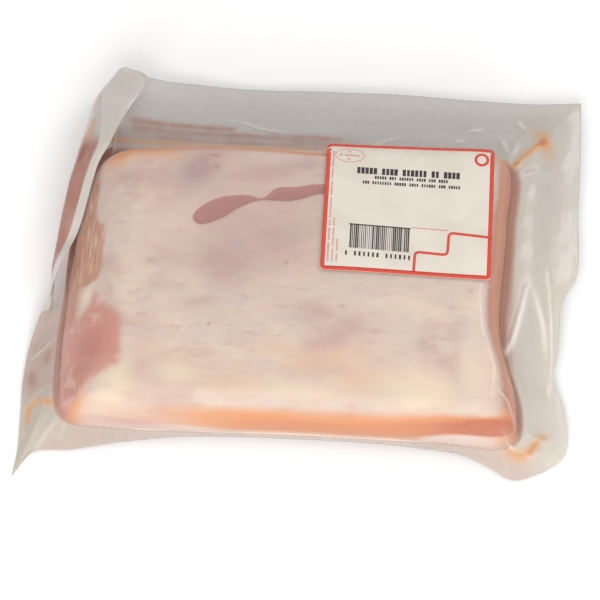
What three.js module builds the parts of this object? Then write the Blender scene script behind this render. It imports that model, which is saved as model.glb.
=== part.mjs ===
// A boneless pork loin sealed in a clear vacuum pouch, with a paper label on the film.
// The loin lies on its flat underside with the fat cap up. Millimetres, +Z up: X runs along
// the loin and Y from its front edge to its back edge. The film is drawn tight over the meat
// and leaves a flat skirt all round, which tucks under at the front and folds over the loin
// at the back left corner.
import * as THREE from "three";

// Driving dimensions of the loin
const THICKNESS = 45; // table to fat cap
const CROWN_DROP = 0.8; // how much lower the fat cap is at its long edges
const HALF_LENGTH = 92;
const HALF_WIDTH = 60;
const SWELL = { height: 0.7, long: 24, wide: 21, shift: 0.6 }; // broad swells in the fat cap
const RIDGE = { share: 0.5, long: 13, wide: 17 }; // slanting ones across them

// Each side of the loin: the height of its widest line, and the fullness of the rounding above
// and below that line. Fullness 1 is a straight slope, 2 a round shoulder and 3 a square one.
const SIDES = {
  front: { height: 17, above: 2.3, below: 1.3 },
  right: { height: 19, above: 2.3, below: 1.7 },
  back: { height: 20, above: 3.2, below: 1.7 },
  left: { height: 18, above: 1.6, below: 1.7 },
};

// How wide those roundings are
const CAP_INSET = { front: 11, right: 13, back: 9, left: 26 };
const BASE_INSET = { front: 12, right: 9, back: 9, left: 9 };

// The widest line of the loin, anticlockwise from the front of its left end
const LOIN_LINE = [
  [-98.4, -36], [-95.5, -54.5], [-74, -58.6], [0, -58.2], [60, -58.4],
  [90, -57], [91.5, -45], [84.5, -16], [86, 34],
  [85.5, 61.8], [52, 63], [-10, 62.5], [-60, 61],
  [-84, 57.5], [-91.5, 51], [-96.4, 26],
  [-98.2, -8],
];

// Driving dimensions of the film
const SKIRT_THICKNESS = 0.9; // two films and what is caught between them
const POUCH_RIGHT = 118;
const POUCH_BACK = 104.4;
const TABLE_GAP = 1.2; // the film's middle above the table where the skirt lies flat
const LIFT = 6.5; // the height at which the stiff back and right edges stand
const LIMP = 3; // an edge this low lies limp, with no pleat or ripple
const BACK_BOW = 0.8; // how far the back edge bows forward near its right end
const EAR = { height: 3.4, width: 2.2 }; // the crease out from a corner of the loin, in columns
const PLEAT = { height: 1.3, share: 0.4, width: 0.13 }; // the crease along the back and right
const RIPPLE = { height: 0.9, waves: 9 };
const HANG = 1.5; // how the film falls away from the loin; 1 is a straight slope
const FOLD = { radius: 2, loin: 0.13, edge: 0.3 }; // the last two limit it by the film's length

// The free edge of the film from each corner to the next
const FLAP_TIP = [-82.6, 107, 16.5];
const FLAP_END = [-110, -8.5, 6.2];
const FRONT_LEFT_TIP = [-115.7, -77.6, TABLE_GAP];
const FRONT_RIGHT = [104, -64.5, 1.6];
const BACK_RIGHT = [POUCH_RIGHT, POUCH_BACK, LIFT];
const FRONT_EDGE = [
  FRONT_LEFT_TIP, [-108, -66.8, TABLE_GAP], [-92, -64.6, 1.6], [-68, -59.6, 2.4],
  [-42, -56.2, 3.2], [0, -55.2, 3.4], [38, -55.4, 3.2], [58, -56.6, 2.2],
  [72, -58.4, 1.8], [82, -62.8, 1.5], [92, -68.3, TABLE_GAP], FRONT_RIGHT,
];
const RIGHT_EDGE = [
  FRONT_RIGHT, [113, -57, 2.6], [112.6, -38, 4.2], [107.6, -24, 5.2], [109.4, -13, 5.6],
  [111, 11, 6], [116.6, 21, LIFT], [117.4, 52, LIFT], [POUCH_RIGHT, 80, LIFT], BACK_RIGHT,
];
const BACK_EDGE = [
  BACK_RIGHT, [104, POUCH_BACK - BACK_BOW, LIFT], [78, POUCH_BACK - BACK_BOW, LIFT],
  [40, POUCH_BACK, LIFT], [0, POUCH_BACK, LIFT], [-40, POUCH_BACK, LIFT],
  [-64, POUCH_BACK, 9], [-75, 105.2, 13], FLAP_TIP,
];
const LEFT_EDGE = [
  FLAP_END, [-113.2, -20, 3.4], [-114.8, -36, 2.2], [-114.6, -50, 1.7], [-114.4, -66, 1.4],
  FRONT_LEFT_TIP,
];

// The flap that folds over the loin's left end: its free edge, and the fold line that it
// turns back from, point for point. Towards the front it stands up and then lies down flat.
const FLAP_EDGE = [
  FLAP_TIP, [-80.8, 105, 20.3], [-71.7, 99.5, 23], [-78.1, 81.1, 27], [-81.4, 70.9, 31],
  [-83.9, 61.3, 35], [-88, 51.2, 38], [-90, 42.8, 38.5], [-91.7, 33.5, 38], [-93.2, 25.6, 36.5],
  [-95.3, 18.8, 34], [-98, 13.4, 30], [-101, 9.5, 25], [-103.6, 5.5, 18.5], [-106.4, -0.5, 11.5],
  FLAP_END,
];
const FLAP_FOLD = [
  [-83.6, 106, 17.2], [-84.4, 104.6, 18], [-86.5, 100.5, 19], [-92.6, 88, 21.5], [-94, 77, 23.5],
  [-96.4, 66.5, 25.5], [-98.4, 55, 26.5], [-100, 46, 27], [-101.2, 36, 26.7], [-102.2, 28, 25.5],
  [-103, 20.5, 23], [-103.8, 15.5, 19.5], [-104.3, 11.5, 15.5], [-104.4, 6.5, 12.5],
  [-104.6, 0, 10.6], [-105.6, -8.5, 8.8],
];

// The label, with its back right corner at the loin's shoulder
const LABEL = { width: 70, height: 59.6, corner: 1.6, thickness: 0.4, turn: -0.4, at: [43.1, 32.9] };
const LABEL_GAP = 0.4;
const LABEL_BEND = { most: 3.5, lag: 0.06 }; // how its edge bends down over the loin's shoulder

// The sides of the pouch in order round it, each between two entries of the loin's line, with
// how many columns of faces it is divided into. An ease above 1 sets them closer at the start.
const PARTS = [
  { from: 0, to: 5, columns: 40, edge: FRONT_EDGE },
  { from: 5, to: 9, columns: 30, edge: RIGHT_EDGE },
  { from: 9, to: 13, columns: 33, edge: BACK_EDGE },
  { from: 13, to: 16, columns: 28, edge: FLAP_EDGE, fold: FLAP_FOLD, ease: 1.5 },
  { from: 16, to: 17, columns: 13, edge: LEFT_EDGE },
];

// How finely the surfaces are divided the other way. The shares run outwards from the middle
// of the loin, and from the loin to the film's free edge.
const CAP_SHARES = [0.22, 0.42, 0.6, 0.76, 0.9];
const SHOULDER_ANGLES = [90, 78, 66, 54, 42, 28];
const SKIRT_SHARES = [0.1, 0.22, 0.34, 0.46, 0.56, 0.64, 0.72, 0.8, 0.9, 1];
const FOLD_SHARE = SKIRT_SHARES[5]; // the ring that follows the fold
const FLAP_REACH = { share: 0.92, width: 3.5 }; // where it lies beside the flap's tip
const UNDER_ANGLES = [28, 55, 90];
const BASE_SHARES = [0.7, 0.35];
const LABEL_STEPS = { side: 14, corner: 3, shares: [0.3, 0.54, 0.72, 0.84, 0.93, 1] };

const radians = THREE.MathUtils.degToRad;
const bell = (x, width) => Math.exp(-((x / width) ** 2));
const curveThrough = (points, closed = false) =>
  new THREE.CatmullRomCurve3(
    points.map(([x, y, z = 0]) => new THREE.Vector3(x, y, z)), closed, "centripetal");

// Height of the fat cap at a place, without the rounding of its edges
function crown(x, y) {
  const swell = Math.sin(x / SWELL.long + SWELL.shift) * Math.cos(y / SWELL.wide);
  const ridge = RIDGE.share * Math.sin(x / RIDGE.long + y / RIDGE.wide);
  const drop = (y / HALF_WIDTH) ** 2 + (x / HALF_LENGTH) ** 2 / 2;
  return THICKNESS - CROWN_DROP * drop + SWELL.height * (swell + ridge);
}

// Points spaced by length along a stretch of a curve
function spaced(curve, from, to, count, ease = 1) {
  const steps = 200;
  const fine = [];
  for (let k = 0; k <= steps; k++) fine.push(curve.getPoint((from + ((to - from) * k) / steps) % 1));
  const reached = [0];
  for (let k = 1; k <= steps; k++) reached.push(reached[k - 1] + fine[k].distanceTo(fine[k - 1]));
  const points = [];
  let k = 0;
  for (let i = 0; i < count; i++) {
    const wanted = reached[steps] * (i / count) ** ease;
    while (reached[k + 1] < wanted) k++;
    const share = (wanted - reached[k]) / (reached[k + 1] - reached[k]);
    points.push(fine[k].clone().lerp(fine[k + 1], share));
  }
  return points;
}

// What each column of faces round the pouch follows: the loin's widest point, what its side of
// the loin is like, the film's free edge and its fold if there is one
function pouchColumns() {
  const line = curveThrough(LOIN_LINE, true);
  const knots = LOIN_LINE.length;
  const columns = [];
  for (const part of PARTS) {
    const edge = curveThrough(part.edge);
    const fold = part.fold && curveThrough(part.fold);
    const widestPoints = spaced(line, part.from / knots, part.to / knots, part.columns, part.ease);
    widestPoints.forEach((widest, i) => {
      const t = edge.getUtoTmapping(i / part.columns);
      columns.push({ widest, edge: edge.getPoint(t), fold: i > 0 && fold && fold.getPoint(t) });
    });
  }
  columns.forEach((column, i) => {
    const next = columns[(i + 1) % columns.length].widest;
    const last = columns.at(i - 1).widest;
    const along = next.clone().sub(last).normalize();
    const shares = {
      left: Math.min(0, along.y) ** 2, right: Math.max(0, along.y) ** 2,
      front: Math.max(0, along.x) ** 2, back: Math.min(0, along.x) ** 2,
    };
    column.side = {};
    for (const key of Object.keys(SIDES.front)) {
      column.side[key] = Object.keys(SIDES).reduce((sum, s) => sum + shares[s] * SIDES[s][key], 0);
    }
  });
  for (const column of columns) column.widest.z = column.side.height;
  return columns;
}

// The way in from a point of the widest line, for an inset with its own width at each side
function wayIn({ x, y }, inset) {
  const along = 0.5 + x / (2 * HALF_LENGTH);
  const across = 0.5 + y / (2 * HALF_WIDTH);
  return new THREE.Vector3(
    THREE.MathUtils.lerp(inset.left, -inset.right, along),
    THREE.MathUtils.lerp(inset.front, -inset.back, across), 0);
}

// A point of the rounding above the widest line, which is at 0 degrees; the cap begins at 90
function shoulderPoint({ widest, side }, degrees) {
  const power = 2 / side.above;
  const depth = 1 - Math.cos(radians(degrees)) ** power;
  const p = widest.clone().addScaledVector(wayIn(widest, CAP_INSET), depth);
  p.z += (crown(p.x, p.y) - p.z) * Math.sin(radians(degrees)) ** power;
  return p;
}

// A point of the rounding below the widest line, down to the flat underside at 90 degrees
function underPoint({ widest, side }, degrees) {
  const power = 2 / side.below;
  const depth = 1 - Math.cos(radians(degrees)) ** power;
  const p = widest.clone().addScaledVector(wayIn(widest, BASE_INSET), depth);
  p.z *= 1 - Math.sin(radians(degrees)) ** power;
  return p;
}

// The middle of the film along one column, from the loin at share 0 to the free edge at 1,
// through the fold if the column has one
function filmPoint(column, share) {
  const { widest, edge, fold } = column;
  if (!fold) {
    const { lerp, smoothstep } = THREE.MathUtils;
    const out = share < FOLD_SHARE
      ? lerp(0, column.reach, share / FOLD_SHARE)
      : lerp(column.reach, 1, (share - FOLD_SHARE) / (1 - FOLD_SHARE));
    const p = widest.clone().lerp(edge, out);
    const stiff = smoothstep(edge.z, LIMP, LIFT);
    p.z = lerp(edge.z, widest.z, (1 - out) ** HANG);
    p.z += PLEAT.height * stiff * bell(share - PLEAT.share, PLEAT.width);
    p.z += RIPPLE.height * stiff * share * Math.sin(RIPPLE.waves * column.around);
    p.z += EAR.height * column.ear * Math.sin(Math.PI * share) ** 2;
    p.z = Math.max(p.z, TABLE_GAP);
    return p;
  }
  const toLoin = widest.clone().sub(fold);
  const toEdge = edge.clone().sub(fold);
  const across = toEdge.clone().normalize().sub(toLoin.clone().normalize()).normalize();
  return share < FOLD_SHARE
    ? bent(fold, toLoin, across.negate(), FOLD.loin, 1 - share / FOLD_SHARE)
    : bent(fold, toEdge, across, FOLD.edge, (share - FOLD_SHARE) / (1 - FOLD_SHARE));
}

// A point on the way from a fold to where a vector from it ends, at a share of that way. The
// film leaves the fold across the bend, and by the end it runs straight along the vector. The
// bend is tighter than the fold's radius where the vector is short.
function bent(fold, vector, across, tightness, share) {
  const length = vector.length();
  const radius = Math.min(FOLD.radius, tightness * length);
  const leaving = across.clone().multiplyScalar(2 * Math.sqrt(radius * length));
  const p = fold.clone().addScaledVector(leaving, share * (1 - share) ** 2);
  return p.addScaledVector(vector, share ** 2 * (3 - 2 * share) - share ** 2 * (1 - share));
}

// The film's two faces as rings, half its thickness to each side of its middle
function filmRings(columns) {
  const middle = SKIRT_SHARES.map((share) => columns.map((column) => filmPoint(column, share)));
  const start = columns.map((column) => column.widest);
  const moved = (way) =>
    middle.map((ring, j) =>
      ring.map((p, i) => {
        const along = ring[(i + 1) % ring.length].clone().sub(ring.at(i - 1));
        const outward = (middle[j + 1] ?? ring)[i].clone().sub((middle[j - 1] ?? start)[i]);
        const normal = outward.cross(along).normalize();
        return p.clone().addScaledVector(normal, (way * SKIRT_THICKNESS) / 2);
      }));
  return { above: moved(1), below: moved(-1) };
}

// Closes a stack of rings, from the middle of the top out and round to the middle of the base
function closedStack(rings, top, bottom) {
  const count = rings[0].length;
  const points = [top, ...rings.flat(), bottom];
  const at = (j, i) => 1 + j * count + (i % count);
  const faces = [];
  for (let i = 0; i < count; i++) {
    faces.push(0, at(0, i), at(0, i + 1));
    for (let j = 0; j + 1 < rings.length; j++) {
      faces.push(at(j, i), at(j + 1, i), at(j + 1, i + 1));
      faces.push(at(j, i), at(j + 1, i + 1), at(j, i + 1));
    }
    faces.push(at(rings.length - 1, i), points.length - 1, at(rings.length - 1, i + 1));
  }
  const geometry = new THREE.BufferGeometry();
  geometry.setAttribute(
    "position", new THREE.Float32BufferAttribute(points.flatMap((p) => p.toArray()), 3));
  geometry.setIndex(faces);
  geometry.computeVertexNormals();
  return geometry;
}

// The loin in its pouch as one solid
function packedLoin() {
  const columns = pouchColumns();
  const corners = [PARTS[0].columns, PARTS[0].columns + PARTS[1].columns];
  const foldStart = columns.findIndex((column) => column.fold) - 1;
  columns.forEach((column, i) => {
    column.around = (2 * Math.PI * i) / columns.length;
    column.ear = corners.reduce((sum, corner) => sum + bell(i - corner, EAR.width), 0);
    const beside = bell(i - foldStart, FLAP_REACH.width);
    column.reach = FOLD_SHARE + (FLAP_REACH.share - FOLD_SHARE) * beside;
  });
  const shoulder = SHOULDER_ANGLES.map((a) => columns.map((c) => shoulderPoint(c, a)));
  const under = UNDER_ANGLES.map((a) => columns.map((c) => underPoint(c, a)));
  const cap = CAP_SHARES.map((share) =>
    shoulder[0].map(({ x, y }) =>
      new THREE.Vector3(x * share, y * share, crown(x * share, y * share))));
  const base = BASE_SHARES.map((share) =>
    under.at(-1).map(({ x, y }) => new THREE.Vector3(x * share, y * share, 0)));
  const { above, below } = filmRings(columns);
  const rings = [...cap, ...shoulder, ...above, ...below.reverse(), ...under, ...base];
  return closedStack(rings, new THREE.Vector3(0, 0, crown(0, 0)), new THREE.Vector3(0, 0, 0));
}

// The label's outline, a rectangle with round corners, anticlockwise
function labelOutline() {
  const [w, h] = [LABEL.width / 2 - LABEL.corner, LABEL.height / 2 - LABEL.corner];
  const starts = [[w, h], [-w, h], [-w, -h], [w, -h]].map(([x, y], k) => {
    const arc = [];
    for (let a = 0; a <= LABEL_STEPS.corner; a++) {
      const angle = radians(90 * (k + a / LABEL_STEPS.corner));
      arc.push(new THREE.Vector2(
        x + LABEL.corner * Math.cos(angle), y + LABEL.corner * Math.sin(angle)));
    }
    return arc;
  });
  return starts.flatMap((arc, k) => {
    const next = starts[(k + 1) % starts.length][0];
    const side = [];
    for (let s = 1; s < LABEL_STEPS.side; s++) {
      side.push(arc.at(-1).clone().lerp(next, s / LABEL_STEPS.side));
    }
    return [...arc, ...side];
  });
}

// The label, lying on the film above the fat cap. Where the film rounds the loin's shoulder, the
// stiff paper bends down after it, but less and less.
function paperLabel(pouch) {
  const centre = new THREE.Vector2(...LABEL.at);
  const outline = labelOutline().map((p) =>
    p.rotateAround(new THREE.Vector2(), radians(LABEL.turn)).add(centre));
  const ray = new THREE.Raycaster();
  const raised = (p, height) => {
    const { x, y } = p.clone().lerp(centre, LABEL_BEND.lag);
    ray.set(new THREE.Vector3(x, y, 2 * THICKNESS), new THREE.Vector3(0, 0, -1));
    const drop = Math.max(0, crown(x, y) - ray.intersectObject(pouch)[0].point.z);
    const bend = LABEL_BEND.most * (1 - Math.exp(-drop / LABEL_BEND.most));
    return new THREE.Vector3(p.x, p.y, crown(p.x, p.y) - bend + height);
  };
  const rings = (height) =>
    LABEL_STEPS.shares.map((share) =>
      outline.map((p) => raised(centre.clone().lerp(p, share), height)));
  const top = LABEL_GAP + LABEL.thickness;
  return closedStack(
    [...rings(top), ...rings(LABEL_GAP).reverse()],
    raised(centre, top), raised(centre, LABEL_GAP));
}

const film = new THREE.MeshStandardMaterial({ color: 0xd9bfae, roughness: 0.22, metalness: 0 });
const paper = new THREE.MeshStandardMaterial({ color: 0xe6ddd0, roughness: 0.55, metalness: 0 });

const pouch = new THREE.Mesh(packedLoin(), film);
pouch.name = "sealed_pouch";
const label = new THREE.Mesh(paperLabel(pouch), paper);
label.name = "paper_label";

// The part stands on the origin, under the middle of its bounding box
const part = new THREE.Group();
part.add(pouch, label);
const middle = new THREE.Box3().setFromObject(part).getCenter(new THREE.Vector3());
for (const mesh of part.children) mesh.geometry.translate(-middle.x, -middle.y, 0);

export default part;
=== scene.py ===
# The looks of a boneless pork loin in a clear vacuum pouch, with a printed paper label on the film.
# Lengths are millimetres in the loin's own plan: X along it, Y from its front edge to its back
# edge, Z up from the table. They become metres when a mesh is made.
import math

import bmesh
import bpy
import numpy as np
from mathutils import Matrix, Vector
from mathutils.bvhtree import BVHTree


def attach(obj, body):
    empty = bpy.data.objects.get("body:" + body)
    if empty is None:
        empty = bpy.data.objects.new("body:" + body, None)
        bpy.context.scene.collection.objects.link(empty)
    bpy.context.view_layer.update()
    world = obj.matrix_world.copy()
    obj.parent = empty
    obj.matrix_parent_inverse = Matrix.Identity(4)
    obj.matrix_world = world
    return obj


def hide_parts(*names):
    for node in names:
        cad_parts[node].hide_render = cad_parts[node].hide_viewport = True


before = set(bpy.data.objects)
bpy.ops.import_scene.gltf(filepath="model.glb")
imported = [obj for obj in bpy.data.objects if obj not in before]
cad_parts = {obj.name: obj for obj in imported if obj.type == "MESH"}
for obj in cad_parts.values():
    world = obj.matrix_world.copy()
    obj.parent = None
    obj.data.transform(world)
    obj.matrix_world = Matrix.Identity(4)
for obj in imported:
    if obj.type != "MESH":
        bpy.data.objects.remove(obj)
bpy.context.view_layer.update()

MM = 0.001
PHOTO_PIXELS = 600
FAR, TINY = 1e9, 1e-9  # beyond any distance here, and too small to matter

# The loin and the film, with the same sizes and outlines as the solid

THICKNESS, CROWN_DROP, HALF_LENGTH, HALF_WIDTH = 45, 0.8, 92, 60
SWELL = {"height": 0.7, "long": 24, "wide": 21, "shift": 0.6}
RIDGE = {"share": 0.5, "long": 13, "wide": 17}
SIDES = {
    "front": {"height": 17, "above": 2.3, "below": 1.3},
    "right": {"height": 19, "above": 2.3, "below": 1.7},
    "back": {"height": 20, "above": 3.2, "below": 1.7},
    "left": {"height": 18, "above": 1.6, "below": 1.7},
}
CAP_INSET = {"front": 11, "right": 13, "back": 9, "left": 26}
BASE_INSET = {"front": 12, "right": 9, "back": 9, "left": 9}
LOIN_LINE = [
    (-98.4, -36), (-95.5, -54.5), (-74, -58.6), (0, -58.2), (60, -58.4),
    (90, -57), (91.5, -45), (84.5, -16), (86, 34),
    (85.5, 61.8), (52, 63), (-10, 62.5), (-60, 61),
    (-84, 57.5), (-91.5, 51), (-96.4, 26),
    (-98.2, -8),
]
SKIRT_THICKNESS, POUCH_RIGHT, POUCH_BACK, TABLE_GAP, LIFT, LIMP = 0.9, 118, 104.4, 1.2, 6.5, 3
BACK_BOW, HANG = 0.8, 1.5
EAR = {"height": 3.4, "width": 2.2}
PLEAT = {"height": 1.3, "share": 0.4, "width": 0.13}
RIPPLE = {"height": 0.9, "waves": 9}
FOLD = {"radius": 2, "loin": 0.13, "edge": 0.3}
FLAP_TIP, FLAP_END = (-82.6, 107, 16.5), (-110, -8.5, 6.2)
FRONT_LEFT_TIP, FRONT_RIGHT = (-115.7, -77.6, TABLE_GAP), (104, -64.5, 1.6)
BACK_RIGHT = (POUCH_RIGHT, POUCH_BACK, LIFT)
FRONT_EDGE = [
    FRONT_LEFT_TIP, (-108, -66.8, TABLE_GAP), (-92, -64.6, 1.6), (-68, -59.6, 2.4),
    (-42, -56.2, 3.2), (0, -55.2, 3.4), (38, -55.4, 3.2), (58, -56.6, 2.2),
    (72, -58.4, 1.8), (82, -62.8, 1.5), (92, -68.3, TABLE_GAP), FRONT_RIGHT,
]
RIGHT_EDGE = [
    FRONT_RIGHT, (113, -57, 2.6), (112.6, -38, 4.2), (107.6, -24, 5.2), (109.4, -13, 5.6),
    (111, 11, 6), (116.6, 21, LIFT), (117.4, 52, LIFT), (POUCH_RIGHT, 80, LIFT), BACK_RIGHT,
]
BACK_EDGE = [
    BACK_RIGHT, (104, POUCH_BACK - BACK_BOW, LIFT), (78, POUCH_BACK - BACK_BOW, LIFT),
    (40, POUCH_BACK, LIFT), (0, POUCH_BACK, LIFT), (-40, POUCH_BACK, LIFT),
    (-64, POUCH_BACK, 9), (-75, 105.2, 13), FLAP_TIP,
]
LEFT_EDGE = [
    FLAP_END, (-113.2, -20, 3.4), (-114.8, -36, 2.2), (-114.6, -50, 1.7), (-114.4, -66, 1.4),
    FRONT_LEFT_TIP,
]
FLAP_EDGE = [
    FLAP_TIP, (-80.8, 105, 20.3), (-71.7, 99.5, 23), (-78.1, 81.1, 27), (-81.4, 70.9, 31),
    (-83.9, 61.3, 35), (-88, 51.2, 38), (-90, 42.8, 38.5), (-91.7, 33.5, 38), (-93.2, 25.6, 36.5),
    (-95.3, 18.8, 34), (-98, 13.4, 30), (-101, 9.5, 25), (-103.6, 5.5, 18.5), (-106.4, -0.5, 11.5),
    FLAP_END,
]
FLAP_FOLD = [
    (-83.6, 106, 17.2), (-84.4, 104.6, 18), (-86.5, 100.5, 19), (-92.6, 88, 21.5), (-94, 77, 23.5),
    (-96.4, 66.5, 25.5), (-98.4, 55, 26.5), (-100, 46, 27), (-101.2, 36, 26.7), (-102.2, 28, 25.5),
    (-103, 20.5, 23), (-103.8, 15.5, 19.5), (-104.3, 11.5, 15.5), (-104.4, 6.5, 12.5),
    (-104.6, 0, 10.6), (-105.6, -8.5, 8.8),
]
PARTS = [
    {"span": (0, 5), "columns": 40, "edge": FRONT_EDGE},
    {"span": (5, 9), "columns": 30, "edge": RIGHT_EDGE},
    {"span": (9, 13), "columns": 33, "edge": BACK_EDGE},
    {"span": (13, 16), "columns": 28, "edge": FLAP_EDGE, "fold": FLAP_FOLD, "ease": 1.5},
    {"span": (16, 17), "columns": 13, "edge": LEFT_EDGE},
]
BACK_PART, FLAP_PART = 2, 3
FOLD_SHARE = 0.64
FLAP_REACH = {"share": 0.92, "width": 3.5}
CURVE_STEPS = 1200  # stretches that the length of a curve is measured in

# How finely the looks are divided: columns for each one of the solid's, and rings outwards
FINENESS = 5
FILM_RINGS = {"cap": 24, "shoulder": 27, "skirt": 46, "below": 16, "under": 9, "base": 3}
LOIN_RINGS = {"cap": 66, "shoulder": 28, "under": 9, "base": 3}
FILM_GAP = 0.3  # from the film to the meat under it
TURNING = 3  # how far along the outline the form of one side eases into the next one's
FLAP_REST = 1  # from the loin to the flap that is laid on it
FLAP_SLIDE = 0.4  # how far back the laid flap slides for each millimetre that it comes down
LEAVING = 6  # degrees above and below the widest line where the film leaves the loin
WEDGE = (0.03, 0.06, 0.09)  # shares of the way out that meat and juice fill between the sheets
HEM = {"from": 0.9, "thin": 0.3}  # the skirt thins towards its free edge

# The label
LABEL = {"width": 70, "height": 59.6, "corner": 1.6, "thickness": 0.25, "turn": -0.4}
LABEL_AT = (43.1, 32.9)
LABEL_GAP = 0.42
LABEL_BEND = {"most": 3.5, "lag": 0.06}
LABEL_RINGS = 25


def unit(vectors):
    return vectors / np.maximum(np.linalg.norm(vectors, axis=-1, keepdims=True), TINY)


def bell(x, width):
    return np.exp(-((x / width) ** 2))


def ramp(x, low, high):
    """0 below low, 1 above high and smooth between."""
    t = np.clip((x - low) / (high - low), 0, 1)
    return t * t * (3 - 2 * t)


def curve_points(points, t, closed=False):
    """Points of a centripetal Catmull-Rom curve at parameters from 0 to 1."""
    p = np.array([(*q, 0)[:3] for q in points], float)
    spans = len(p) - (not closed)
    k = np.minimum(np.floor(t * spans).astype(int), spans - 1)
    w = (t * spans - k)[:, None]
    if closed:
        corners = [p[(k + d) % len(p)] for d in (-1, 0, 1, 2)]
    else:
        longer = np.vstack([2 * p[0] - p[1], p, 2 * p[-1] - p[-2]])
        corners = [longer[k + d] for d in range(4)]
    a, b, c, d = corners
    ab, bc, cd = (np.linalg.norm(v, axis=1, keepdims=True) ** 0.5 for v in (b - a, c - b, d - c))
    leave = ((b - a) / ab - (c - a) / (ab + bc) + (c - b) / bc) * bc
    reach = ((c - b) / bc - (d - b) / (bc + cd) + (d - c) / cd) * bc
    return (b + leave * w + (3 * (c - b) - 2 * leave - reach) * w**2
            + (2 * (b - c) + leave + reach) * w**3)


def reached_at(points):
    """How far along a line of points each one is."""
    return np.concatenate([[0], np.cumsum(np.linalg.norm(np.diff(points, axis=0), axis=1))])


def by_length(points, shares, span=(0, 1), closed=False):
    """The parameters of a curve at shares of its length, or of one stretch of it."""
    t = np.linspace(*span, CURVE_STEPS + 1)
    reached = reached_at(curve_points(points, t % 1 if closed else t, closed))
    return np.interp(shares * reached[-1], reached, t)


def crown(x, y):
    """Height of the fat cap, without the rounding of its edges."""
    swell = np.sin(x / SWELL["long"] + SWELL["shift"]) * np.cos(y / SWELL["wide"])
    ridge = RIDGE["share"] * np.sin(x / RIDGE["long"] + y / RIDGE["wide"])
    drop = (y / HALF_WIDTH) ** 2 + (x / HALF_LENGTH) ** 2 / 2
    return THICKNESS - CROWN_DROP * drop + SWELL["height"] * (swell + ridge)


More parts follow.
